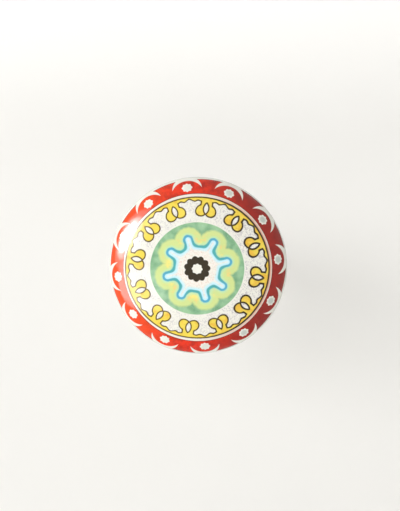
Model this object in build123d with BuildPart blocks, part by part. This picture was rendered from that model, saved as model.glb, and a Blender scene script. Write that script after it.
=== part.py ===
from build123d import *
import os
from math import radians, sqrt, tan

# A round glazed cabinet knob on a cemented-in bolt, with the washer and nut that hold it, in mm.
# The knob's axis is Y: the foot meets the door at y = 0, the domed head points to -Y, and the
# bolt runs through the door to +Y. +Z is up.
os.makedirs("parts", exist_ok=True)

# ceramic body
head_diameter = 40.0
projection = 29.0           # door face to the crown of the dome
crown_rise = 5.5            # dome above the widest circle of the head
crown_fullness = 0.64       # 0.55 is an ellipse, more is a flatter crown on a tighter shoulder
underside_fullness = 0.52   # share of the underside that runs back before it turns in
neck_fullness = 0.40        # share of the underside that runs along the neck
neck_diameter = 15.0
neck_height = 8.0           # door face to the narrowest circle of the neck
foot_diameter = 19.0
foot_band = 1.6             # upright edge of the foot
foot_flare = 1.4            # how far above that edge the flare leaves the neck
foot_round = 0.6
band_round = 0.4

# blind socket in the foot, grooved so that the set cement can't pull out
cement_wall = 0.96          # cement round the corners of the bolt's head
socket_depth = 13.0
socket_cone = 1.2           # rise of the blind end
socket_round = 0.4          # rounded mouth
groove_radius = 0.6
groove_count = 3
groove_pitch = 2.6
first_groove = 3.4          # door face to the middle of the first groove
cement_recess = 0.8         # the cement stops this far inside the foot

# bolt, washer and nut
thread_diameter = 4.0
stud_length = 32.0          # door face to the free end
stud_chamfer = 0.6
bolt_flats = 7.0
bolt_head_height = 2.8
bolt_head_cover = 1.4       # cement between the bolt's head and the blind end
panel_thickness = 18.0      # door between the foot and the washer
washer_diameter = 9.0
washer_thickness = 0.8
washer_clearance = 0.15     # all round the thread
washer_round = 0.15
nut_flats = 7.0
nut_height = 3.2
nut_clearance = 0.05        # all round the thread
nut_countersink = 0.3
bevel_angle = radians(30)   # bevel on the corners of the bolt's head and the nut
bevel_share = 0.95          # circle where that bevel starts, as a share of the flats

head_radius = head_diameter / 2
neck_radius = neck_diameter / 2
foot_radius = foot_diameter / 2
thread_radius = thread_diameter / 2
socket_radius = bolt_flats / sqrt(3) + cement_wall
widest_height = projection - crown_rise
underside_depth = widest_height - neck_height
bolt_head_seat = socket_depth - bolt_head_cover - bolt_head_height
groove_heights = [first_groove + i * groove_pitch for i in range(groove_count)]


def bevel_drop(flats):
    """How far the corner bevel reaches down a hexagon's edge."""
    return flats * (1 / sqrt(3) - bevel_share / 2) * tan(bevel_angle)


# half section of the socket, for the hole in the ceramic and the cement that fills it
with BuildSketch(Plane.XY) as socket_section:
    with BuildLine():
        Polyline(
            (0, 0),
            (socket_radius, 0),
            (socket_radius, -socket_depth),
            (0, -socket_depth - socket_cone),
            close=True,
        )
    make_face()
    with Locations([(socket_radius, -height) for height in groove_heights]):
        Circle(groove_radius)

# domed head, waisted neck and flared foot, thrown as one piece
with BuildPart() as ceramic_knob:
    with BuildSketch(Plane.XY):
        with BuildLine():
            crown = Bezier(
                (0, -projection),
                (crown_fullness * head_radius, -projection),
                (head_radius, -widest_height - crown_fullness * crown_rise),
                (head_radius, -widest_height),
            )
            underside = Bezier(
                crown @ 1,
                (head_radius, -widest_height + underside_fullness * underside_depth),
                (neck_radius, -neck_height - neck_fullness * underside_depth),
                (neck_radius, -neck_height),
            )
            flare = Bezier(
                underside @ 1,
                (neck_radius, -foot_band - foot_flare),
                (foot_radius, -foot_band),
            )
            Polyline(flare @ 1, (foot_radius, 0), (0, 0), crown @ 0)
        make_face()
    revolve(axis=Axis.Y)
    fillet(ceramic_knob.edges().filter_by(GeomType.CIRCLE).sort_by(Axis.Y)[-1], foot_round)
    fillet(ceramic_knob.edges().filter_by(GeomType.CIRCLE).sort_by(Axis.Y)[0], band_round)
    revolve(socket_section.sketch, axis=Axis.Y, mode=Mode.SUBTRACT)
    seat = ceramic_knob.faces().filter_by(Plane.XZ).sort_by(Axis.Y)[-1]
    fillet(seat.inner_wires().edges(), socket_round)

# hexagon-headed bolt whose head is set in the ceramic
with BuildPart() as stud_bolt:
    with BuildSketch(Plane.XZ.offset(bolt_head_seat)):
        RegularPolygon(bolt_flats / 2, 6, major_radius=False)
    extrude(amount=bolt_head_height)
    with BuildSketch(Plane.XY):
        with BuildLine():
            Polyline(
                (0, -bolt_head_seat),
                (bolt_flats, -bolt_head_seat),
                (bolt_flats / sqrt(3), -bolt_head_seat - bolt_head_height + bevel_drop(bolt_flats)),
                (bevel_share * bolt_flats / 2, -bolt_head_seat - bolt_head_height),
                (0, -bolt_head_seat - bolt_head_height),
                close=True,
            )
        make_face()
    revolve(axis=Axis.Y, mode=Mode.INTERSECT)
    with BuildSketch(Plane.XZ.offset(bolt_head_seat)):
        Circle(thread_radius)
    extrude(amount=-bolt_head_seat - stud_length)
    chamfer(stud_bolt.edges().sort_by(Axis.Y)[-1], stud_chamfer)

# cement that fills the socket round the bolt
with BuildPart() as setting_cement:
    revolve(socket_section.sketch, axis=Axis.Y)
    split(bisect_by=Plane.XZ.offset(cement_recess), keep=Keep.TOP)
    add(stud_bolt.part, mode=Mode.SUBTRACT)

# plain washer against the back of the door
with BuildPart() as flat_washer:
    with BuildSketch(Plane.XZ.offset(-panel_thickness)):
        Circle(washer_diameter / 2)
        Circle(thread_radius + washer_clearance, mode=Mode.SUBTRACT)
    extrude(amount=-washer_thickness)
    rims = flat_washer.edges().filter_by(GeomType.CIRCLE).sort_by(SortBy.RADIUS)[-2:]
    fillet(rims, washer_round)

# hexagon nut on the washer, bevelled on both faces
nut_face = panel_thickness + washer_thickness
with BuildPart() as hex_nut:
    with BuildSketch(Plane.XZ.offset(-nut_face)):
        RegularPolygon(nut_flats / 2, 6, major_radius=False)
        Circle(thread_radius + nut_clearance, mode=Mode.SUBTRACT)
    extrude(amount=-nut_height)
    bores = hex_nut.edges().filter_by(GeomType.CIRCLE)
    chamfer(bores, nut_countersink)
    with BuildSketch(Plane.XY):
        with BuildLine():
            Polyline(
                (0, nut_face),
                (bevel_share * nut_flats / 2, nut_face),
                (nut_flats / sqrt(3), nut_face + bevel_drop(nut_flats)),
                (nut_flats / sqrt(3), nut_face + nut_height - bevel_drop(nut_flats)),
                (bevel_share * nut_flats / 2, nut_face + nut_height),
                (0, nut_face + nut_height),
                close=True,
            )
        make_face()
    revolve(axis=Axis.Y, mode=Mode.INTERSECT)

ceramic_knob.part.label = "ceramic_knob"
export_step(ceramic_knob.part, "parts/ceramic_knob.step")
stud_bolt.part.label = "stud_bolt"
export_step(stud_bolt.part, "parts/stud_bolt.step")
setting_cement.part.label = "setting_cement"
export_step(setting_cement.part, "parts/setting_cement.step")
flat_washer.part.label = "flat_washer"
export_step(flat_washer.part, "parts/flat_washer.step")
hex_nut.part.label = "hex_nut"
export_step(hex_nut.part, "parts/hex_nut.step")
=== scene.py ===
from math import atan, ceil, cos, floor, pi, radians, sin, tan
import bmesh
import bpy
from mathutils import Matrix, Vector, noise


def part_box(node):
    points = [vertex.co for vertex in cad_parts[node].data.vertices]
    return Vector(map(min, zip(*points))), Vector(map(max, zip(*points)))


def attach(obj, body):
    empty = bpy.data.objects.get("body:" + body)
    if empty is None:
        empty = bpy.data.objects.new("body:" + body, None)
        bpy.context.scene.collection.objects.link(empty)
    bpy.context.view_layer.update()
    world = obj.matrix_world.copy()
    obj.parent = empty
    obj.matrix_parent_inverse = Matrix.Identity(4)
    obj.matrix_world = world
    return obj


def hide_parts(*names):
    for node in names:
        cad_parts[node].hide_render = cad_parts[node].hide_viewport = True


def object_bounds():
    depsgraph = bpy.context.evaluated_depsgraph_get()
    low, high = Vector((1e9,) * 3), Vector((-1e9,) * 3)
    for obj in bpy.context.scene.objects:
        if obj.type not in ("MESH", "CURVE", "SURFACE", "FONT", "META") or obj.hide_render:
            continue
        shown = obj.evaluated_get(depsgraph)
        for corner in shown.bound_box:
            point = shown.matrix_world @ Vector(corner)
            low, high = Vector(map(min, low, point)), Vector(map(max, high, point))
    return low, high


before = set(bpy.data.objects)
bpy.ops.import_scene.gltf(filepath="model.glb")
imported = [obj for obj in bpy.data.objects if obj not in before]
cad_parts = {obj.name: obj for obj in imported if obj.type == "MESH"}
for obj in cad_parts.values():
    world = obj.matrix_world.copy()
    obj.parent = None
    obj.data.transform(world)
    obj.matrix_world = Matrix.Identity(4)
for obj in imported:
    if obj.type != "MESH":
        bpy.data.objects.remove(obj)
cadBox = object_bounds()
print("frame loaded:", sorted(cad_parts))

mm = 0.001
mergeGap = 1e-7  # metres; points closer than this become one
nodeBox = {name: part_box(name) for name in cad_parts}


def bezierPoint(points, t):
    # point on a Bezier curve of any degree
    while len(points) > 1:
        points = [a.lerp(b, t) for a, b in zip(points, points[1:])]
    return points[0]


def bezierRun(corners, count):
    # count points along a Bezier curve, without its first point
    control = [Vector(corner) for corner in corners]
    return [bezierPoint(control, (i + 1) / count) for i in range(count)]


def arcRun(centre, radius, start, end, count):
    # count points along an arc, without its first point; angles in degrees from the radial axis
    turns = [radians(start + (end - start) * (i + 1) / count) for i in range(count)]
    return [Vector((centre[0] + radius * cos(a), centre[1] + radius * sin(a))) for a in turns]


def arcLengths(outline):
    # distance run along the outline at each of its points
    run = [0]
    for a, b in zip(outline, outline[1:]):
        run.append(run[-1] + (b - a).length)
    return run


def turned(name, outline, steps, arcLayer=None, sharpFrom=180, change=None):
    # a body of revolution about Y from an outline of (radius, y) in mm
    mesh = bmesh.new()
    layer = mesh.verts.layers.float.new(arcLayer) if arcLayer else None
    verts = []
    for (radius, y), arc in zip(outline, arcLengths(outline)):
        vert = mesh.verts.new((radius * mm, y * mm, 0))
        if layer:
            vert[layer] = arc
        verts.append(vert)
    edges = [mesh.edges.new(pair) for pair in zip(verts, verts[1:])]
    bmesh.ops.spin(mesh, geom=verts + edges, cent=(0, 0, 0), axis=(0, 1, 0), angle=2 * pi,
                   steps=steps, use_merge=True)
    bmesh.ops.remove_doubles(mesh, verts=mesh.verts, dist=mergeGap)
    if change:
        change(mesh)
    bmesh.ops.recalc_face_normals(mesh, faces=mesh.faces)
    return finished(name, mesh, sharpFrom)


def finished(name, mesh, sharpFrom=180):
    # the bmesh as an object at the origin; edges that turn by sharpFrom degrees or more stay crisp
    data = bpy.data.meshes.new(name)
    for face in mesh.faces:
        face.smooth = True
    for edge in mesh.edges:
        if edge.is_manifold and edge.calc_face_angle() >= radians(sharpFrom):
            edge.smooth = False
    mesh.to_mesh(data)
    mesh.free()
    piece = bpy.data.objects.new(name, data)
    bpy.context.scene.collection.objects.link(piece)
    return piece


def standFor(piece, node, material):
    # the piece takes the place of a CAD node
    piece.data.materials.clear()
    piece.data.materials.append(material)
    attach(piece, "root")
    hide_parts(node)
    print("made", piece.name, len(piece.data.polygons), "faces")


class Wire:
    # a shader socket that can stand in a Python sum

    def __init__(self, graph, socket):
        self.graph = graph
        self.socket = socket

    def __add__(self, other):
        return self.graph.math("ADD", self, other)

    def __radd__(self, other):
        return self.graph.math("ADD", other, self)

    def __sub__(self, other):
        return self.graph.math("SUBTRACT", self, other)

    def __rsub__(self, other):
        return self.graph.math("SUBTRACT", other, self)

    def __mul__(self, other):
        return self.graph.math("MULTIPLY", self, other)

    def __rmul__(self, other):
        return self.graph.math("MULTIPLY", other, self)

    def __truediv__(self, other):
        return self.graph.math("DIVIDE", self, other)

    def __neg__(self):
        return self.graph.math("MULTIPLY", self, -1)

    def __abs__(self):
        return self.graph.math("ABSOLUTE", self)


class Graph:
    # the node tree of one material, or of the world

    def __init__(self, name, world=False):
        self.owner = (bpy.data.worlds if world else bpy.data.materials).new(name)
        self.owner.use_nodes = True
        self.tree = self.owner.node_tree
        self.tree.nodes.clear()
        kind = "ShaderNodeOutputWorld" if world else "ShaderNodeOutputMaterial"
        self.output = self.tree.nodes.new(kind)

    def shade(self, shader):
        self.tree.links.new(shader.socket, self.output.inputs["Surface"])
        return self.owner

    def add(self, kind, settings=None, sockets=None, out=0):
        # a node with its settings first, then its sockets; gives the wire of one output
        node = self.tree.nodes.new(kind)
        for key, value in (settings or {}).items():
            setattr(node, key, value)
        for key, value in (sockets or {}).items():
            if isinstance(value, Wire):
                self.tree.links.new(value.socket, node.inputs[key])
            else:
                node.inputs[key].default_value = value
        return Wire(self, node.outputs[out])

    def math(self, operation, *values):
        return self.add("ShaderNodeMath", {"operation": operation}, dict(enumerate(values)))

    def lower(self, a, b):
        return self.math("MINIMUM", a, b)

    def higher(self, a, b):
        return self.math("MAXIMUM", a, b)

    def blendLow(self, a, b, reach):
        # lower of two with a rounded corner
        return self.math("SMOOTH_MIN", a, b, reach)

    def length(self, a, b):
        return self.math("SQRT", a * a + b * b)

    def fold(self, angle, count, first):
        # angle to the nearest of count spokes, in radians
        half = pi / count
        return self.math("WRAP", angle - radians(first), half, -half)

    def rise(self, value, low, high):
        # 0 below low, 1 above high, eased between
        sockets = {"Value": value, "From Min": low, "From Max": high}
        return self.add("ShaderNodeMapRange", {"interpolation_type": "SMOOTHSTEP"}, sockets)

    def inside(self, distance, soft):
        # 1 where a distance is negative, with a soft edge
        return 1 - self.rise(distance, -soft / 2, soft / 2)

    def within(self, value, limit, soft):
        # 1 where a value is below a limit, with a soft edge
        return self.inside(value - limit, soft)

    def colour(self, factor, a, b):
        # a where the factor is 0, b where it is 1
        values = {0: factor, 6: self.asColour(a), 7: self.asColour(b)}
        return self.add("ShaderNodeMix", {"data_type": "RGBA"}, values, out=2)

    def asColour(self, value):
        return value if isinstance(value, Wire) else (*value, 1)

    def noise(self, scale, detail, rough, place=None):
        sockets = {"Scale": scale, "Detail": detail, "Roughness": rough,
                   "Vector": place or self.place()}
        return self.add("ShaderNodeTexNoise", {}, sockets)

    def patches(self, scale, detail, rough, low, high):
        # noise that is 0 below low and 1 above high
        return self.rise(self.noise(scale, detail, rough), low, high)

    def spots(self, scale, radius, soft):
        # small round spots scattered through the piece
        sockets = {"Vector": self.place(), "Scale": scale}
        cell = self.add("ShaderNodeTexVoronoi", {}, sockets, out="Distance")
        return self.within(cell, radius, soft)

    def place(self):
        # object coordinates in mm
        coordinates = self.add("ShaderNodeTexCoord", out="Object")
        sockets = {0: coordinates, "Scale": 1 / mm}
        return self.add("ShaderNodeVectorMath", {"operation": "SCALE"}, sockets)

    def split(self, vector):
        node = self.add("ShaderNodeSeparateXYZ", {}, {0: vector}).socket.node
        return [Wire(self, socket) for socket in node.outputs]

    def bump(self, height, strength, distance):
        sockets = {"Height": height, "Strength": strength, "Distance": distance}
        return self.add("ShaderNodeBump", {}, sockets)

    def finish(self, sockets):
        return self.shade(self.add("ShaderNodeBsdfPrincipled", {}, sockets))


def rgb(red, green, blue):
    # screen colour 0-255 as scene-linear
    return tuple((c / 255 / 12.92) if c <= 10 else ((c / 255 + 0.055) / 1.055) ** 2.4
                 for c in (red, green, blue))


# the ceramic body

knob = {
    "crownRise": 5.5,
    "crownFullness": 0.64,
    "undersideFullness": 0.52,
    "neckFullness": 0.40,
    "neckRadius": 7.5,
    "neckHeight": 8.0,
    "footRadius": 9.5,
    "footBand": 1.6,
    "footFlare": 1.4,
    "footRound": 0.6,
    "bandRound": 0.35,
    "socketRadius": 5.0,
    "socketDepth": 13.0,
    "socketCone": 1.2,
    "socketRound": 0.4,
    "grooves": (3.4, 6.0, 8.6),
    "grooveRadius": 0.6,
    "steps": 256,
    "points": {"crown": 72, "underside": 56, "flare": 16, "lip": 6, "foot": 8, "mouth": 6, "groove": 10},
}


def grooveRun(radius):
    # keying grooves up the socket wall
    run = []
    for depth in knob["grooves"]:
        run.append(Vector((radius, -depth + knob["grooveRadius"])))
        run += arcRun((radius, -depth), knob["grooveRadius"], 90, -90,
                      knob["points"]["groove"])
    return run


def knobOutline():
    # outline from the crown over the rim, down the neck and foot and up the socket
    low, high = nodeBox["ceramic_knob"]
    points = knob["points"]
    headRadius = high[0] / mm
    projection = -low[1] / mm
    widest = projection - knob["crownRise"]
    under = widest - knob["neckHeight"]
    rim = (headRadius, -widest)
    neck = (knob["neckRadius"], -knob["neckHeight"])
    flareEnd = (knob["footRadius"], -knob["footBand"])
    run = [Vector((0, -projection))]
    run += bezierRun([(0, -projection), (knob["crownFullness"] * headRadius, -projection),
                      (headRadius, -widest - knob["crownFullness"] * knob["crownRise"]), rim],
                     points["crown"])
    run += bezierRun([rim, (headRadius, -widest + knob["undersideFullness"] * under),
                      (knob["neckRadius"], -knob["neckHeight"] - knob["neckFullness"] * under), neck],
                     points["underside"])
    flare = bezierRun([neck, (knob["neckRadius"], -knob["footBand"] - knob["footFlare"]), flareEnd],
                      points["flare"])
    bandTop = (knob["footRadius"], -knob["footBand"] + knob["bandRound"])
    run += flare[:-2] + bezierRun([flare[-2], flareEnd, bandTop], points["lip"])
    corner = knob["footRound"]
    run.append(Vector((knob["footRadius"], -corner)))
    run += arcRun((knob["footRadius"] - corner, -corner), corner, 0, 90, points["foot"])
    mouth = knob["socketRadius"] + knob["socketRound"]
    run.append(Vector((mouth, 0)))
    run += arcRun((mouth, -knob["socketRound"]), knob["socketRound"], 90, 180, points["mouth"])
    run += grooveRun(knob["socketRadius"])
    run.append(Vector((knob["socketRadius"], -knob["socketDepth"])))
    run.append(Vector((0, -knob["socketDepth"] - knob["socketCone"])))
    return run


# print on the head, in mm; angles run clockwise from the top
# noise is given by scale, detail and roughness, patches also by the values they rise between,
# a pair named From by where a change starts and ends, a pair named Within by a limit and its soft edge

ornament = {
    "offCentre": 0.08,
    "squash": 0.988,
    # painted shade: the print darkens towards the right over the next pair; painted light: it brightens
    # towards the left over the pair after
    "shadeFrom": (-3, 14),
    "paintedLightFrom": (-17, -2),
    "edge": 0.1,
    "wobble": (1.1, 2, 0.5),
    "flower": {"radius": 1.12, "petal": 0.08, "petals": 8, "first": 4},
    "ring": {"radius": 2.52, "scallop": 0.42, "lobes": 11, "first": -12, "shake": 0.12},
    "star": {"valley": 5.05, "reach": 6.8, "halfWidth": 0.87, "corner": 1.6, "shake": 0.16,
             "line": 0.27, "lineSoft": 0.26, "lineShake": 0.1, "blueFrom": (5.6, 7.6),
             "fieldSoft": 0.12, "blushFrom": (0.4, 0.75), "cyanFrom": (-1.05, -0.35), "cyan": 0.9,
             "grain": (2.9, 3, 0.8, 0.52, 0.62), "rose": 0.45,
             "mintWithin": (0.62, 0.8), "mint": 0.85,
             "arms": [-17, 31.5, 76.5, 125, 164.5, 211, 255, 302.5]},
    "halo": {"centre": 6.4, "radius": 3.15, "soft": 0.7, "shake": 0.5,
             "strawFrom": (0.46, 0.62), "strawWithin": (7.0, 1.6),
             "dabs": (0.75, 2, 0.5, 0.5, 0.66), "dabsWithin": (7.6, 2.2), "peach": 0.75},
    "disc": {"radius": 10.45, "soft": 0.16, "shake": 0.1,
             "cloud": (0.55, 3, 0.6), "deepFrom": (0.35, 0.7),
             "fine": (2.2, 3, 0.65), "mintFrom": (0.45, 0.8), "mint": 0.35},
    "field": {"fadeIn": 0.4, "specks": (2.9, 3, 0.8, 0.48, 0.6), "patch": (0.8, 2, 0.5),
              # the patch and grey shares tied to far make the specks denser and greyer to the right, as
              # painted shade
              "patchPaintedShade": 0.1, "patchFrom": (0.25, 0.62), "grey": 0.6, "greyPaintedShade": 0.25},
    "scroll": {"count": 12, "first": 8.4, "lobeOut": 1.04, "lobeCentre": 13.1, "lobeRadius": 1.22,
               "neck": 1.28, "neckBlend": 0.35, "bandBlend": 0.26,
               "lensCentre": 13.6, "lensHalf": 0.42, "lensHigh": 1.02, "lensRound": 0.18,
               "bandLow": 15.1, "bandPeak": 0.5, "peakOut": 1.2, "shoulder": 0.22, "shoulderAt": 2.0,
               "shoulderOut": 0.85, "bandHigh": 16.0, "shake": 0.1, "soft": 0.08,
               # the line thins where the print is lit, as painted light, and the amber share on the next
               # line grows with far, as painted shade
               "line": 0.21, "paintedLightThinning": 0.06,
               "cloud": (0.7, 3, 0.6), "amberPaintedShade": 0.12, "amberAndShadeFrom": (0.48, 0.74)},
    "rim": {"count": 12, "first": -6.4, "drift": 1.1, "driftFrom": 150, "shake": 0.06,
            # the shares tied to far deepen the red and tint the ring and flowers towards the right as
            # painted shade; the scarlet share is painted light on the left
            "ringAt": 16.4, "ringWithin": (0.2, 0.2), "rose": 0.12, "rosePaintedShade": 0.62,
            "start": 16.72, "end": 20.55, "leanTo": 50, "leanFrom": 0.6, "lean": 1.1,
            "plainWithin": (-0.16, 0.3),
            "deep": (0.6, 3, 0.6, 0.4, 0.7), "deepShare": 0.6, "deepPaintedShade": 0.85, "scarletPaintedLight": 0.8,
            "flowerAt": 18.33, "flowerWide": 1.1, "flowerHigh": 0.96, "petals": 8, "petal": 0.08,
            "pewterWithin": (0.68, 0.5), "pewter": 0.1, "pewterPaintedShade": 0.5,
            "innerAt": 16.28, "innerRadius": 3.87, "outerAt": 18.25, "outerRadius": 3.28},
}

inks = {
    "white": rgb(230, 229, 219),
    "black": rgb(44, 34, 12),
    "blush": rgb(240, 231, 226),
    "cyan": rgb(180, 230, 244),
    "teal": rgb(72, 164, 168),
    "blue": rgb(78, 164, 196),
    "mint": rgb(176, 222, 182),
    "lime": rgb(202, 217, 141),
    "peach": rgb(236, 202, 122),
    "straw": rgb(236, 222, 122),
    "sage": rgb(148, 190, 148),
    "deepSage": rgb(110, 158, 120),
    "grey": rgb(176, 170, 178),
    "yellow": rgb(231, 207, 77),
    # amber mottling of the scrolls, also laid on towards the right as painted shade
    "amberAndShade": rgb(226, 179, 57),
    # the scroll outline in two copies: a paler one for painted light on the left, a darker one for
    # painted shade on the right
    "paintedLightOutline": rgb(86, 68, 16),
    "paintedShadeOutline": rgb(48, 35, 8),
    # red brightened towards orange, used only as painted light on the left of the band
    "paintedLightScarlet": rgb(236, 76, 16),
    "rose": rgb(212, 152, 124),
    # grey-green tint of the rim flowers, laid on mostly towards the right as painted shade
    "pewter": rgb(150, 164, 158),
    "red": rgb(225, 44, 8),
    # deep red for the band's mottling, and also as painted shade on its right
    "deepRedAndShade": rgb(128, 16, 6),
    "maroon": rgb(120, 20, 16),
}


def vesica(g, across, along, half, high):
    # signed distance to a pointed oval
    radius = (half ** 2 + high ** 2) / (2 * half)
    return g.length(abs(across) + (radius - half), along) - radius


def starShape(g, x, z, rho):
    # signed distance to a disc with rounded arms
    star = ornament["star"]
    shape = rho - star["valley"]
    for arm in star["arms"]:
        turn = radians(arm)
        along = x * sin(turn) + z * cos(turn)
        across = x * cos(turn) - z * sin(turn)
        past = g.higher(along - star["reach"], 0)
        behind = g.higher(-along, 0)
        finger = g.length(across, past + behind) - star["halfWidth"]
        shape = g.blendLow(shape, finger, star["corner"])
    return shape


def haloShape(g, x, z, rho):
    # signed distance to the union of soft lobes round the arms
    halo = ornament["halo"]
    shape = rho - halo["centre"]
    for arm in ornament["star"]["arms"]:
        turn = radians(arm)
        lobe = g.length(x - halo["centre"] * sin(turn), z - halo["centre"] * cos(turn))
        shape = g.lower(shape, lobe - halo["radius"])
    return shape


def paintDisc(g, x, z, rho, shape, cloud, fine, wobble):
    # mottled green disc with the yellow-green halo of the star
    disc, halo, star = ornament["disc"], ornament["halo"], ornament["star"]
    ground = g.colour(g.rise(cloud, *disc["deepFrom"]), inks["sage"], inks["deepSage"])
    ground = g.colour(g.rise(fine, *disc["mintFrom"]) * disc["mint"], ground, inks["mint"])
    straw = g.rise(cloud, *halo["strawFrom"]) * g.within(rho, *halo["strawWithin"])
    dabs = g.patches(*halo["dabs"]) * g.within(rho, *halo["dabsWithin"])
    lime = g.colour(straw, inks["lime"], inks["straw"])
    lime = g.colour(dabs * halo["peach"], lime, inks["peach"])
    glow = g.inside(haloShape(g, x, z, rho) + wobble * halo["shake"], halo["soft"])
    ground = g.colour(glow, ground, lime)
    return g.colour(g.within(shape, *star["mintWithin"]) * star["mint"], ground, inks["mint"])


def paintStar(g, base, rho, shape, fine, wobble):
    # white star, pale blue towards its edge, with a teal and blue outline
    star = ornament["star"]
    field = g.colour(g.rise(fine, *star["blushFrom"]), inks["white"], inks["blush"])
    field = g.colour(g.patches(*star["grain"]) * star["rose"], field, inks["rose"])
    field = g.colour(g.rise(shape, *star["cyanFrom"]) * star["cyan"], field, inks["cyan"])
    base = g.colour(g.inside(shape, star["fieldSoft"]), base, field)
    stroke = g.colour(g.rise(rho, *star["blueFrom"]), inks["teal"], inks["blue"])
    line = abs(shape) - star["line"] + wobble * star["lineShake"]
    return g.colour(g.inside(line, star["lineSoft"]), base, stroke)


def paintFlower(g, base, rho, angle, wobble):
    # white flower in a scalloped black ring
    flower, ring, edge = ornament["flower"], ornament["ring"], ornament["edge"]
    petal = g.math("COSINE", (angle - radians(flower["first"])) * flower["petals"])
    lobe = abs(g.math("COSINE", (angle - radians(ring["first"])) * (ring["lobes"] / 2)))
    flowerEdge = flower["radius"] + petal * flower["petal"]
    ringEdge = ring["radius"] + lobe * ring["scallop"]
    base = g.colour(g.inside(rho - ringEdge + wobble * ring["shake"], edge), base, inks["black"])
    return g.colour(g.inside(rho - flowerEdge, edge), base, inks["white"])


def paintCentre(g, base, x, z, rho, angle, wobble):
    star, disc = ornament["star"], ornament["disc"]
    shape = starShape(g, x, z, rho) + wobble * star["shake"]
    cloud = g.noise(*disc["cloud"])
    fine = g.noise(*disc["fine"])
    centre = paintDisc(g, x, z, rho, shape, cloud, fine, wobble)
    centre = paintStar(g, centre, rho, shape, fine, wobble)
    centre = paintFlower(g, centre, rho, angle, wobble)
    discEdge = rho - disc["radius"] + wobble * disc["shake"]
    return g.colour(g.inside(discEdge, disc["soft"]), base, centre)


def scrollShape(g, rho, angle, wobble):
    # signed distance to the yellow scrollwork
    scroll = ornament["scroll"]
    turn = g.fold(angle, scroll["count"], scroll["first"])
    across = abs(turn * rho)
    lobe = g.length(across - scroll["lobeOut"], rho - scroll["lobeCentre"]) - scroll["lobeRadius"]
    neck = g.higher(across - scroll["neck"], scroll["lobeCentre"] - rho)
    lobes = g.blendLow(lobe, neck, scroll["neckBlend"])
    middle = abs(g.fold(angle, scroll["count"], scroll["first"] + 180 / scroll["count"]) * rho)
    peak = (1 - g.rise(middle, 0, scroll["peakOut"])) * scroll["bandPeak"]
    beside = abs(middle - scroll["shoulderAt"])
    peak = peak + (1 - g.rise(beside, 0, scroll["shoulderOut"])) * scroll["shoulder"]
    band = scroll["bandLow"] + peak - rho
    shape = g.blendLow(lobes, band, scroll["bandBlend"])
    shape = g.higher(shape, rho - scroll["bandHigh"])
    lens = vesica(g, across, rho - scroll["lensCentre"], scroll["lensHalf"], scroll["lensHigh"])
    return g.higher(shape, scroll["lensRound"] - lens) + wobble * scroll["shake"]


def paintField(g, base, rho, far):
    # grey specks on the white band round the disc; towards the right they grow denser and greyer as
    # painted shade
    field, inner = ornament["field"], ornament["disc"]["radius"]
    zone = g.rise(rho, inner, inner + field["fadeIn"])
    zone = zone * g.within(rho, ornament["scroll"]["bandHigh"], ornament["edge"])
    patch = g.rise(g.noise(*field["patch"]) + far * field["patchPaintedShade"], *field["patchFrom"])
    grain = g.patches(*field["specks"]) * patch * zone
    return g.colour(grain * (field["grey"] + far * field["greyPaintedShade"]), base, inks["grey"])


def paintScroll(g, base, rho, angle, wobble, far):
    # yellow scrollwork with its dark outline; towards the right painted shade turns the yellow amber and
    # the outline darker, towards the left painted light makes the outline paler and thinner
    scroll = ornament["scroll"]
    shape = scrollShape(g, rho, angle, wobble)
    cloud = g.noise(*scroll["cloud"]) + far * scroll["amberPaintedShade"]
    tone = g.colour(g.rise(cloud, *scroll["amberAndShadeFrom"]), inks["yellow"], inks["amberAndShade"])
    base = g.colour(g.inside(shape, scroll["soft"]), base, tone)
    outline = g.colour(far, inks["paintedLightOutline"], inks["paintedShadeOutline"])
    line = scroll["line"] - (1 - far) * scroll["paintedLightThinning"]
    return g.colour(g.inside(abs(shape) - line, ornament["edge"]), base, outline)


def paintRim(g, base, arc, rho, angle, wobble, far, paintedLight):
    # red band with white flowers and crescents; towards the right the red deepens and the ring and
    # flowers turn rose and pewter as painted shade, towards the left the red turns scarlet as painted
    # light
    rim, edge = ornament["rim"], ornament["edge"]
    drift = g.math("COSINE", angle - radians(rim["driftFrom"])) * radians(rim["drift"])
    turn = g.fold(angle - drift, rim["count"], rim["first"])
    across = turn * rho
    up = arc - rim["flowerAt"]
    spin = g.math("ARCTAN2", across, up)
    reach = g.length(across / rim["flowerWide"], up / rim["flowerHigh"])
    flower = reach - 1 - g.math("COSINE", spin * rim["petals"]) * rim["petal"]

    inner = g.length(across, arc - rim["innerAt"]) - rim["innerRadius"]
    outer = g.length(across, arc - rim["outerAt"]) - rim["outerRadius"]
    crescent = g.higher(-inner, outer)
    lean = g.math("COSINE", angle - radians(rim["leanTo"])) - rim["leanFrom"]
    lean = g.higher(lean, 0) * rim["lean"]
    band = g.higher(rim["start"] - arc, arc - rim["end"] - lean) + wobble * rim["shake"]
    shape = g.higher(g.higher(band, -flower), -crescent)

    red = g.colour(g.patches(*rim["deep"]) * rim["deepShare"], inks["red"], inks["deepRedAndShade"])
    # painted shade: the red deepens towards the right; painted light: it turns scarlet towards the left
    red = g.colour(far * rim["deepPaintedShade"], red, inks["deepRedAndShade"])
    red = g.colour(paintedLight * rim["scarletPaintedLight"], red, inks["paintedLightScarlet"])
    red = g.colour(g.within(band, *rim["plainWithin"]), inks["maroon"], red)
    # the rose ring and the pewter flowers grow stronger towards the right as painted shade
    rose = g.within(abs(arc - rim["ringAt"]), *rim["ringWithin"])
    base = g.colour(rose * (rim["rose"] + far * rim["rosePaintedShade"]), base, inks["rose"])
    pewter = g.within(reach, *rim["pewterWithin"]) * (rim["pewter"] + far * rim["pewterPaintedShade"])
    base = g.colour(pewter, base, inks["pewter"])
    return g.colour(g.inside(shape, edge), base, red)


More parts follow.
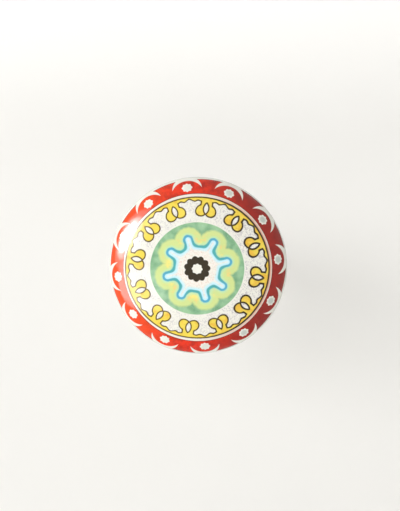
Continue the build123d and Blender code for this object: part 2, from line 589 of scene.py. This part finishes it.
glazing = {
    "index": 1.5,
    "printWithin": (-20.5, 1),
    "cloud": (0.25, 3, 0.5),
    "blushFrom": (0.35, 0.75),
    "blush": 0.25,
    "poolFrom": (-4.6, -1.6),
    "poolShare": 0.55,
    "poolCloud": 0.5,
    "specks": (0.42, 0.06, 0.06),  # spots are given by scale, radius and soft edge
    "speckPatches": (0.9, 2, 0.5, 0.5, 0.56),
    "speckShare": 0.8,
    "socketWithin": (5.75, 0.1),
    "socketFrom": (-16.0, -15.5),
    "bareFrom": (-0.62, -0.34),
    "bareEdge": (0.7, 3, 0.6),
    "bareWander": 0.3,
    "clay": (3.2, 4, 0.7),
    "darkFrom": (0.35, 0.7),
    "clayRough": 0.82,
    "clayHeight": 0.5,
    "clayStrength": 0.5,
    "pinholes": (1.1, 0.07, 0.05),
    "pinPatches": (0.6, 2, 0.5, 0.56, 0.6),
    "pinRough": 0.3,
    "pinDepth": 0.4,
    "rough": 0.07,
    "roughCloud": (0.4, 3, 0.6),
    "roughShare": 0.04,
    "ripple": (0.35, 2, 0.5),
    "rippleStrength": 0.12,
    "rippleHeight": 0.0002,
    "biscuit": rgb(214, 202, 184),
    "darkBiscuit": rgb(184, 170, 150),
    "pool": rgb(206, 211, 208),
    "speck": rgb(120, 104, 88),
}


def paintDecal(g, glaze, x, z):
    # the whole print, laid on a little off centre, with painted shade darkening it towards the right and
    # painted light brightening it towards the left
    arc = g.add("ShaderNodeAttribute", {"attribute_name": "printArc"}, out="Fac")
    x = x + ornament["offCentre"]
    angle = g.math("ARCTAN2", x, z)
    flat = g.length(x, z)
    z = z / ornament["squash"]
    rho = g.length(x, z)
    # far is a painted shade mask rising towards the right of the head; the next line is a painted light
    # mask rising towards the left
    far = g.rise(x, *ornament["shadeFrom"])
    paintedLight = 1 - g.rise(x, *ornament["paintedLightFrom"])
    wobble = g.noise(*ornament["wobble"]) - 0.5
    decal = paintField(g, glaze, rho, far)
    decal = paintScroll(g, decal, rho, angle, wobble, far)
    decal = paintCentre(g, decal, x, z, rho, angle, wobble)
    return paintRim(g, decal, arc, flat, angle, wobble, far, paintedLight)


def printedGlaze():
    g = Graph("printed glaze")
    x, y, z = g.split(g.place())
    cloud = g.noise(*glazing["cloud"])
    blush = g.rise(cloud, *glazing["blushFrom"]) * glazing["blush"]
    glaze = g.colour(blush, inks["white"], inks["blush"])

    # glaze runs thicker towards the foot and holds a few iron specks
    pooled = g.rise(y, *glazing["poolFrom"]) * (glazing["poolShare"] + cloud * glazing["poolCloud"])
    plain = g.colour(pooled, glaze, glazing["pool"])
    specks = g.spots(*glazing["specks"]) * g.patches(*glazing["speckPatches"])
    plain = g.colour(specks * glazing["speckShare"], plain, glazing["speck"])
    front = g.within(y, *glazing["printWithin"])
    colour = g.colour(front, plain, paintDecal(g, glaze, x, z))

    # bare fired clay on the foot ring and in the socket
    inSocket = g.within(g.length(x, z), *glazing["socketWithin"]) * g.rise(y, *glazing["socketFrom"])
    wander = g.noise(*glazing["bareEdge"]) * glazing["bareWander"] - glazing["bareWander"] / 2
    bare = g.higher(inSocket, g.rise(y + wander, *glazing["bareFrom"]))
    clay = g.noise(*glazing["clay"])
    clayTone = g.colour(g.rise(clay, *glazing["darkFrom"]), glazing["biscuit"], glazing["darkBiscuit"])
    colour = g.colour(bare, colour, clayTone)

    # orange-peel gloss with scattered pinholes
    pinholes = g.spots(*glazing["pinholes"]) * g.patches(*glazing["pinPatches"])
    rough = glazing["rough"] + g.noise(*glazing["roughCloud"]) * glazing["roughShare"]
    rough = rough + pinholes * glazing["pinRough"]
    rough = rough + (glazing["clayRough"] - rough) * bare
    height = g.noise(*glazing["ripple"]) - pinholes * glazing["pinDepth"]
    height = height + clay * bare * glazing["clayHeight"]
    strength = glazing["rippleStrength"] + bare * glazing["clayStrength"]
    ripple = g.bump(height, strength, glazing["rippleHeight"])
    return g.finish({"Base Color": colour, "Roughness": rough, "Normal": ripple,
                     "IOR": glazing["index"]})


ceramic = turned("glazedBody", knobOutline(), knob["steps"], arcLayer="printArc")
standFor(ceramic, "ceramic_knob", printedGlaze())


# bolt, nut and washer in zinc plated steel

thread = {
    "pitch": 0.7,
    "depth": 0.41,
    "rootFlat": 0.25,
    "crestFrom": 0.5625,
    "crestTo": 0.6875,
    "steps": 44,
    "rimGap": 1e-3,
    "cutGap": 1e-8,
}


def threadRibbon(mesh, crest, start, end):
    # helical thread from start to end in mm, cut flat at both ends
    pitch = thread["pitch"]
    root = crest - thread["depth"]
    first = (floor(start / pitch) - 1) * pitch
    turns = ceil((end - first) / pitch) + 1
    profile = [(root, 0), (root, thread["rootFlat"]), (crest, thread["crestFrom"]),
               (crest, thread["crestTo"]), (root, 1)]
    verts = [mesh.verts.new((radius * mm, (first + share * pitch) * mm, 0))
             for radius, share in profile]
    edges = [mesh.edges.new(pair) for pair in zip(verts, verts[1:])]
    bmesh.ops.spin(mesh, geom=verts + edges, cent=(0, 0, 0), axis=(0, 1, 0), angle=2 * pi * turns,
                   steps=thread["steps"] * turns, dvec=(0, pitch / thread["steps"] * mm, 0))
    bmesh.ops.remove_doubles(mesh, verts=mesh.verts, dist=mergeGap)
    for height, side in ((start, -1), (end, 1)):
        everything = mesh.verts[:] + mesh.edges[:] + mesh.faces[:]
        bmesh.ops.bisect_plane(mesh, geom=everything, dist=thread["cutGap"],
                               plane_co=(0, height * mm, 0), plane_no=(0, side, 0), clear_outer=True)


def rimAt(mesh, height):
    # open edges that lie at a height in mm
    return [edge for edge in mesh.edges if edge.is_boundary
            and all(abs(vert.co.y / mm - height) < thread["rimGap"] for vert in edge.verts)]


def loopOf(mesh, count, shape):
    # closed loop of edges; shape gives the radius and y in mm at an angle from the X axis
    verts = []
    for i in range(count):
        angle = 2 * pi * i / count
        radius, y = shape(angle)
        verts.append(mesh.verts.new((radius * cos(angle) * mm, y * mm, radius * sin(angle) * mm)))
    return [mesh.edges.new((verts[i - 1], verts[i])) for i in range(count)]


hexForm = {
    "flats": 7.0,
    "bevelShare": 0.95,
    "bevelSlope": 30,
    "steps": 96,
}


def hexRadius(angle):
    # six flats with corners on the X axis
    return hexForm["flats"] / 2 / cos((angle % (pi / 3)) - pi / 6)


def hexLoops(mesh, low, high):
    # outer loops of a hexagon whose corners are turned down to a cone at its faces
    circle = hexForm["flats"] / 2 * hexForm["bevelShare"]
    slope = tan(radians(hexForm["bevelSlope"]))

    def drop(angle):
        return (hexRadius(angle) - circle) * slope

    shapes = [lambda angle: (circle, low),
              lambda angle: (hexRadius(angle), low + drop(angle)),
              lambda angle: (hexRadius(angle), high - drop(angle)),
              lambda angle: (circle, high)]
    return [loopOf(mesh, hexForm["steps"], shape) for shape in shapes]


def bridge(mesh, loops):
    # walls between neighbouring loops
    for a, b in zip(loops, loops[1:]):
        bmesh.ops.bridge_loops(mesh, edges=a + b)


def radiusOf(vert):
    # distance from the axis in mm
    return Vector((vert.co.x, vert.co.z)).length / mm


bolt = {
    "radius": 2.0,
    "headBottom": -8.8,
    "underHead": 0.1,
    "tipChamfer": 0.6,
    "headRim": 1.0,
    "headRecess": 0.3,
    "tipMark": 0.5,
    "tipDent": 0.06,
    "sharpFrom": 32,
    "plate": {"wornFrom": (1.86, 1.99), "dullBelow": (1.6, 1.85), "ringScale": 5},
}


def makeBolt():
    low, high = nodeBox["stud_bolt"]
    top, tip = low[1] / mm, high[1] / mm
    mesh = bmesh.new()
    seat = bolt["headBottom"] + bolt["underHead"]
    threadRibbon(mesh, bolt["radius"], seat, tip)
    for vert in mesh.verts:
        # the cone at the tip takes the thread down with it
        radius = radiusOf(vert)
        limit = bolt["radius"] - max(0, vert.co.y / mm - tip + bolt["tipChamfer"])
        if radius > limit:
            vert.co.x *= limit / radius
            vert.co.z *= limit / radius
    # the head's underside rises a little to the thread
    stem = rimAt(mesh, seat)
    head = hexLoops(mesh, top, bolt["headBottom"])
    bridge(mesh, head + [stem])
    cap = bmesh.ops.contextual_create(mesh, geom=rimAt(mesh, tip))["faces"]
    face = bmesh.ops.contextual_create(mesh, geom=head[0])["faces"]
    bmesh.ops.recalc_face_normals(mesh, faces=mesh.faces)
    bmesh.ops.inset_region(mesh, faces=cap, thickness=bolt["tipMark"] * mm,
                           depth=-bolt["tipDent"] * mm)
    bmesh.ops.inset_region(mesh, faces=face, thickness=bolt["headRim"] * mm,
                           depth=-bolt["headRecess"] * mm)
    return finished("threadedBolt", mesh, bolt["sharpFrom"])


nut = {
    "bore": 2.05,
    "countersink": 0.3,
    "sharpFrom": 26,
    "edgeRound": 0.07,
    "edgeSegments": 2,
    "edgesBeyond": 3.2,
    "plate": {"wornFrom": (3.5, 3.95), "dullBelow": (1.9, 2.3), "ringScale": 3},
}


def sunkEnd(mesh, rim, height):
    # countersink from an end of the thread out to its mouth at a height in mm
    cone = bmesh.ops.extrude_edge_only(mesh, edges=rim)["geom"]
    for vert in cone:
        if isinstance(vert, bmesh.types.BMVert):
            grow = (nut["bore"] + nut["countersink"]) / radiusOf(vert)
            vert.co = (vert.co.x * grow, height * mm, vert.co.z * grow)
    return rimAt(mesh, height)


def makeNut():
    low, high = nodeBox["hex_nut"]
    bottom, top = low[1] / mm, high[1] / mm
    sink = nut["countersink"]
    mesh = bmesh.new()
    threadRibbon(mesh, nut["bore"], bottom + sink, top - sink)
    lowMouth = sunkEnd(mesh, rimAt(mesh, bottom + sink), bottom)
    highMouth = sunkEnd(mesh, rimAt(mesh, top - sink), top)
    bridge(mesh, [lowMouth] + hexLoops(mesh, bottom, top) + [highMouth])
    corners = [edge for edge in mesh.edges if edge.is_manifold
               and edge.calc_face_angle() > radians(nut["sharpFrom"])
               and min(radiusOf(vert) for vert in edge.verts) > nut["edgesBeyond"]]
    bmesh.ops.bevel(mesh, geom=corners, offset=nut["edgeRound"] * mm, segments=nut["edgeSegments"],
                    profile=0.5, affect="EDGES", material=-1)
    bmesh.ops.recalc_face_normals(mesh, faces=mesh.faces)
    return finished("hexNut", mesh, nut["sharpFrom"])


washer = {
    "inner": 2.15,
    "punchRound": 0.22,
    "punchPoints": 5,
    "dieRound": 0.06,
    "diePoints": 3,
    "steps": 128,
    "sharpFrom": 40,
    "plate": {"wornFrom": (4.2, 4.5), "dullBelow": (2.1, 2.6), "ringScale": 7},
}


def washerOutline():
    # stamped ring: well rounded on the punch side, nearly square on the die side
    low, high = nodeBox["flat_washer"]
    inner, outer = washer["inner"], high[0] / mm
    bottom, top = low[1] / mm, high[1] / mm
    soft, softPoints = washer["punchRound"], washer["punchPoints"]
    crisp, crispPoints = washer["dieRound"], washer["diePoints"]
    run = [Vector((inner + crisp, bottom)), Vector((outer - crisp, bottom))]
    run += arcRun((outer - crisp, bottom + crisp), crisp, -90, 0, crispPoints)
    run += [Vector((outer, top - soft))]
    run += arcRun((outer - soft, top - soft), soft, 0, 90, softPoints)
    run += [Vector((inner + soft, top))]
    run += arcRun((inner + soft, top - soft), soft, 90, 180, softPoints)
    run += [Vector((inner, bottom + crisp))]
    run += arcRun((inner + crisp, bottom + crisp), crisp, 180, 270, crispPoints)
    return run


plating = {
    "zinc": rgb(188, 191, 194),
    "blueZinc": rgb(164, 174, 187),
    "straw": rgb(196, 188, 163),
    "bare": rgb(205, 204, 200),
    "dull": rgb(112, 110, 106),
    "cloud": (0.45, 4, 0.6),
    "blueFrom": (0.4, 0.62),
    "strawPatches": (1.2, 2, 0.5, 0.52, 0.74),
    "strawShare": 0.5,
    "fine": (5, 3, 0.7),
    "wornFrom": (0.36, 0.6),
    "dullingCloud": 0.4,
    "dullingFrom": (0.45, 0.8),
    "dullingShare": 0.8,
    "marks": (1.0, 3, 0.6),
    "marksAcross": (0.7, 0.5),
    "marksFrom": (0.5, 0.72),
    "markShare": 0.3,
    "rough": 0.26,
    "roughBy": {"cloud": 0.14, "marks": 0.12, "dulling": 0.3, "worn": 0.1},
    "dullMetal": 0.5,
    "fineHeight": 0.35,
    "scratchStrength": 0.35,
    "scratchHeight": 0.00004,
}


def zincPlate(name, plate):
    # plating that is worn bright beyond one radius and dull below another
    g = Graph(name)
    x, y, z = g.split(g.place())
    radius = g.length(x, z)
    cloud = g.noise(*plating["cloud"])
    fine = g.noise(*plating["fine"])
    scale, (sideX, sideZ) = plate["ringScale"], plating["marksAcross"]
    rings = g.add("ShaderNodeCombineXYZ", {}, {0: radius * scale, 1: y * scale,
                                               2: x * sideX + z * sideZ})
    marks = g.noise(*plating["marks"], rings)
    worn = g.rise(radius, *plate["wornFrom"]) * g.rise(fine, *plating["wornFrom"])
    # darker, duller and less metallic in patches below one radius: in the thread roots, the nut's bore
    # and round the washer's hole
    dulling = 1 - g.rise(radius, *plate["dullBelow"])
    dulling = dulling * g.rise(fine + cloud * plating["dullingCloud"], *plating["dullingFrom"])

    tone = g.colour(g.rise(cloud, *plating["blueFrom"]), plating["zinc"], plating["blueZinc"])
    tone = g.colour(g.patches(*plating["strawPatches"]) * plating["strawShare"], tone, plating["straw"])
    tone = g.colour(worn, tone, plating["bare"])
    tone = g.colour(dulling * plating["dullingShare"], tone, plating["dull"])
    tone = g.colour(g.rise(marks, *plating["marksFrom"]) * plating["markShare"], tone, plating["dull"])
    by = plating["roughBy"]
    rough = plating["rough"] + cloud * by["cloud"] + marks * by["marks"]
    rough = rough + dulling * by["dulling"] - worn * by["worn"]
    height = marks + fine * plating["fineHeight"]
    scratch = g.bump(height, plating["scratchStrength"], plating["scratchHeight"])
    return g.finish({"Base Color": tone, "Metallic": 1 - dulling * plating["dullMetal"],
                     "Roughness": rough, "Normal": scratch})


standFor(makeBolt(), "stud_bolt", zincPlate("bolt plating", bolt["plate"]))
standFor(makeNut(), "hex_nut", zincPlate("nut plating", nut["plate"]))
ring = turned("flatWasher", washerOutline(), washer["steps"], sharpFrom=washer["sharpFrom"])
standFor(ring, "flat_washer", zincPlate("washer plating", washer["plate"]))


# cement round the bolt head, with an uneven trowelled face

cement = {
    "bore": 1.5,
    "headRoom": 4.15,
    "headFrom": -11.75,
    "headTo": -8.65,
    "sag": 0.3,
    "boreDown": 0.1,
    "boreOut": 0.5,
    "wallIn": 1.2,
    "facePoints": 24,
    "faceBand": 0.5,
    "wallMargin": 0.02,
    "uneven": 0.16,
    "lumps": 1400,
    "steps": 160,
    "sharpFrom": 50,
    "cloud": (0.8, 4, 0.65),
    "paleFrom": (0.36, 0.66),
    "grain": (7, 4, 0.75),
    "gritFrom": (0.56, 0.7),
    "gritShare": 0.6,
    "darkNearBoltBelow": (2.0, 2.9),
    "darkNearBoltFrom": (0.3, 0.6),
    "darkNearBoltShare": 0.6,
    "pits": (1.7, 0.16, 0.1),
    "pitPatches": (1.2, 2, 0.5, 0.5, 0.56),
    "pitShare": 0.7,
    "pitDepth": 1.5,
    "cloudHeight": 0.6,
    "reliefStrength": 0.8,
    "reliefHeight": 0.0001,
    "rough": 0.82,
    "grainRough": 0.14,
    "stone": rgb(176, 171, 161),
    "pale": rgb(205, 200, 190),
    "darkNearBolt": rgb(132, 126, 116),
    "grit": rgb(92, 88, 82),
}


def cementOutline():
    # round the bolt head, out across the sagging face and down the socket wall
    low, high = nodeBox["setting_cement"]
    wall, face = knob["socketRadius"], high[1] / mm
    bore, sag = cement["bore"], face - cement["sag"]
    lip = (bore, face - cement["boreDown"])
    corners = [(0, cement["headFrom"]), (cement["headRoom"], cement["headFrom"]),
               (cement["headRoom"], cement["headTo"]), (bore, cement["headTo"]), lip]
    run = [Vector(corner) for corner in corners]
    run += bezierRun([lip, (bore + cement["boreOut"], sag), (wall - cement["wallIn"], sag), (wall, face)],
                     cement["facePoints"])
    run += grooveRun(wall)
    return run + [Vector((wall, -knob["socketDepth"])), Vector((0, low[1] / mm))]


def unevenFace(mesh):
    # sinks the visible face by up to the uneven depth, here more and there less
    face = nodeBox["setting_cement"][1][1]
    edge = knob["socketRadius"] - cement["wallMargin"]
    for vert in mesh.verts:
        if vert.co.y > face - cement["faceBand"] * mm and cement["bore"] < radiusOf(vert) < edge:
            lump = 0.5 + 0.5 * noise.noise(vert.co * cement["lumps"])
            vert.co.y -= cement["uneven"] * lump * mm


def setCement():
    g = Graph("set cement")
    place = g.split(g.place())
    cloud = g.noise(*cement["cloud"])
    grain = g.noise(*cement["grain"])
    # darker in patches close round the bolt
    darkNearBolt = 1 - g.rise(g.length(place[0], place[2]), *cement["darkNearBoltBelow"])
    darkNearBolt = darkNearBolt * g.rise(cloud, *cement["darkNearBoltFrom"])
    pits = g.spots(*cement["pits"]) * g.patches(*cement["pitPatches"])
    tone = g.colour(g.rise(cloud, *cement["paleFrom"]), cement["stone"], cement["pale"])
    tone = g.colour(g.rise(grain, *cement["gritFrom"]) * cement["gritShare"], tone, cement["grit"])
    tone = g.colour(darkNearBolt * cement["darkNearBoltShare"], tone, cement["darkNearBolt"])
    tone = g.colour(pits * cement["pitShare"], tone, cement["grit"])
    height = grain + cloud * cement["cloudHeight"] - pits * cement["pitDepth"]
    relief = g.bump(height, cement["reliefStrength"], cement["reliefHeight"])
    rough = cement["rough"] + grain * cement["grainRough"]
    return g.finish({"Base Color": tone, "Roughness": rough, "Normal": relief})


filling = turned("setCement", cementOutline(), cement["steps"], sharpFrom=cement["sharpFrom"],
                 change=unevenFace)
standFor(filling, "setting_cement", setCement())


# studio

studio = {
    "lens": 100.0,
    "sensor": 36,
    "frameWide": 400,
    "frameHigh": 511,
    "knobPixels": 177.6,
    "knobAt": (198.1, 265.8),
    "azimuth": 1.4,
    "elevation": 7.3,
    "wallGap": 0.008,
    "floorDrop": 0.16,
    "sweepRadius": 0.06,
    "sweepPoints": 16,
    "sweepWide": 3.0,
    "sweepNear": 3.0,
    "wallTop": 0.9,
    "fade": (0.1, 0.26),
    # the paper's colour is painted lighter at the top and darker low down, as painted light falling off
    # down the wall
    "paperTopPaintedLight": rgb(250, 249, 247),
    "paperLowPaintedShade": rgb(232, 231, 228),
    "paintedLightRise": (0.024, 0.074),
    "world": 0.16,
    "lampTarget": (0, -0.02, 0),
    "room": rgb(238, 235, 228),
}


def setCamera():
    # the head's widest circle fills knobPixels across and lies at knobAt
    low, high = nodeBox["ceramic_knob"]
    centre = Vector((0, low[1] + knob["crownRise"] * mm, 0))
    data = bpy.data.cameras.new("camera")
    data.lens = studio["lens"]
    data.sensor_width = studio["sensor"]
    camera = bpy.data.objects.new("camera", data)
    bpy.context.scene.collection.objects.link(camera)
    pixelFocal = studio["lens"] / data.sensor_width * studio["frameHigh"]
    away = pixelFocal * (high[0] - low[0]) / studio["knobPixels"]
    azimuth, elevation = radians(studio["azimuth"]), radians(studio["elevation"])
    back = Vector((sin(azimuth) * cos(elevation), -cos(azimuth) * cos(elevation), sin(elevation)))
    place = centre + back * away
    turn = (-back).to_track_quat("-Z", "Y").to_matrix()
    right = (studio["knobAt"][0] - studio["frameWide"] / 2) / pixelFocal
    down = (studio["knobAt"][1] - studio["frameHigh"] / 2) / pixelFocal
    tip = Matrix.Rotation(atan(right), 3, "Y") @ Matrix.Rotation(atan(down), 3, "X")
    camera.matrix_world = Matrix.Translation(place) @ (turn @ tip).to_4x4()
    bpy.context.scene.camera = camera
    print("camera", round(away, 3), "m from the head")


highlight = (-0.80, -0.57, 0.21)

lamps = {
    # direction from the knob, distance, width and height in metres, light on a white surface
    "key": {"toward": (-0.977, -0.137, 0.158), "away": 1.2, "size": (0.96, 0.60), "light": 0.53,
            "for": "shade"},
    "fill": {"toward": (-0.48, -0.837, 0.29), "away": 1.3, "size": (1.05, 0.36), "light": 0.34,
             "for": "shade"},
    "front": {"toward": (0.024, -0.99, 0.127), "away": 1.0, "size": (0.085, 0.085), "light": 0.46,
              "for": "shade"},
    "glint": {"toward": highlight, "away": 0.50, "size": (0.28, 0.18), "glow": 26,
              "for": "gloss"},
    "sheen": {"toward": highlight, "away": 0.52, "size": (0.40, 0.27), "glow": 9,
              "for": "gloss"},
    "bloom": {"toward": highlight, "away": 0.54, "size": (0.60, 0.40), "glow": 3.0,
              "for": "gloss"},
    "lowSheen": {"toward": (-0.70, -0.60, -0.38), "away": 0.30, "size": (0.20, 0.15), "glow": 4.6,
                 "for": "gloss"},
    "lowBloom": {"toward": (-0.62, -0.70, -0.36), "away": 0.34, "size": (0.36, 0.22), "glow": 2.4,
                 "for": "gloss"},
}


def addLamp(name, lamp):
    # power follows from the light wanted on a white surface that faces the lamp, or from its own glow
    gloss = lamp["for"] == "gloss"
    data = bpy.data.lights.new(name, "AREA")
    data.shape = "ELLIPSE" if gloss else "RECTANGLE"
    data.size, data.size_y = lamp["size"]
    if gloss:
        data.energy = lamp["glow"] * pi * data.size * data.size_y * pi / 4
    else:
        data.energy = lamp["light"] * pi ** 2 * lamp["away"] ** 2
    light = bpy.data.objects.new(name, data)
    light.visible_glossy = gloss
    light.visible_diffuse = not gloss
    bpy.context.scene.collection.objects.link(light)
    toward = Vector(lamp["toward"]).normalized()
    light.location = Vector(studio["lampTarget"]) + toward * lamp["away"]
    light.rotation_euler = (-toward).to_track_quat("-Z", "Y").to_euler()


def seenRays(g):
    # 1 for rays that come from the camera, straight or by way of metal or glass
    rays = [g.add("ShaderNodeLightPath", out=kind) for kind in
            ("Is Camera Ray", "Is Glossy Ray", "Is Transmission Ray")]
    return g.higher(g.higher(rays[0], rays[1]), rays[2])


def palePaper():
    # paper close to the knob, painted lighter towards the top and darker low down as a painted light
    # gradient; far from it, where it is seen or mirrored, it turns into the pale room
    g = Graph("pale paper")
    x, y, z = g.split(g.add("ShaderNodeTexCoord", out="Object"))
    # painted light: the paper's colour brightens upwards
    tone = g.colour(g.rise(z, *studio["paintedLightRise"]), studio["paperLowPaintedShade"], studio["paperTopPaintedLight"])
    diffuse = g.add("ShaderNodeBsdfDiffuse", {}, {"Color": tone})
    far = g.rise(g.length(x, y), *studio["fade"]) * seenRays(g)
    room = g.add("ShaderNodeEmission", {}, {"Color": (*studio["room"], 1), "Strength": 1.0})
    paper = g.add("ShaderNodeMixShader", {}, {0: far, 1: diffuse, 2: room})
    behind = g.add("ShaderNodeNewGeometry", out="Backfacing")
    clear = g.add("ShaderNodeBsdfTransparent")
    return g.shade(g.add("ShaderNodeMixShader", {}, {0: behind, 1: paper, 2: clear}))


def paleRoom():
    # dim as light, pale where it is seen or mirrored
    g = Graph("room", world=True)
    colour = (*studio["room"], 1)
    dim = g.add("ShaderNodeBackground", {}, {"Color": colour, "Strength": studio["world"]})
    pale = g.add("ShaderNodeBackground", {}, {"Color": colour, "Strength": 1.0})
    return g.shade(g.add("ShaderNodeMixShader", {}, {0: seenRays(g), 1: dim, 2: pale}))


def makeSweep():
    # floor that curves up into a wall behind the knob
    wallY = cadBox[1][1] + studio["wallGap"]
    floorZ = -studio["floorDrop"]
    bend = studio["sweepRadius"]
    mesh = bmesh.new()
    points = [(-studio["sweepNear"], floorZ), (wallY - bend, floorZ)]
    points += arcRun((wallY - bend, floorZ + bend), bend, -90, 0, studio["sweepPoints"])
    points += [(wallY, studio["wallTop"])]
    verts = [mesh.verts.new((-studio["sweepWide"], y, z)) for y, z in points]
    edges = [mesh.edges.new(pair) for pair in zip(verts, verts[1:])]
    strip = bmesh.ops.extrude_edge_only(mesh, edges=edges)["geom"]
    moved = [item for item in strip if isinstance(item, bmesh.types.BMVert)]
    bmesh.ops.translate(mesh, verts=moved, vec=(2 * studio["sweepWide"], 0, 0))
    bmesh.ops.recalc_face_normals(mesh, faces=mesh.faces)
    if sum(face.normal.z for face in mesh.faces) < 0:
        bmesh.ops.reverse_faces(mesh, faces=mesh.faces)
    sweep = finished("sweep", mesh)
    sweep.data.materials.append(palePaper())
    print("sweep with its wall at", round(wallY, 3), "m")


setCamera()
makeSweep()
for name, lamp in lamps.items():
    addLamp(name, lamp)
print("lamps:", ", ".join(lamps))

bpy.context.scene.world = paleRoom()
bpy.context.scene.view_settings.view_transform = "Standard"
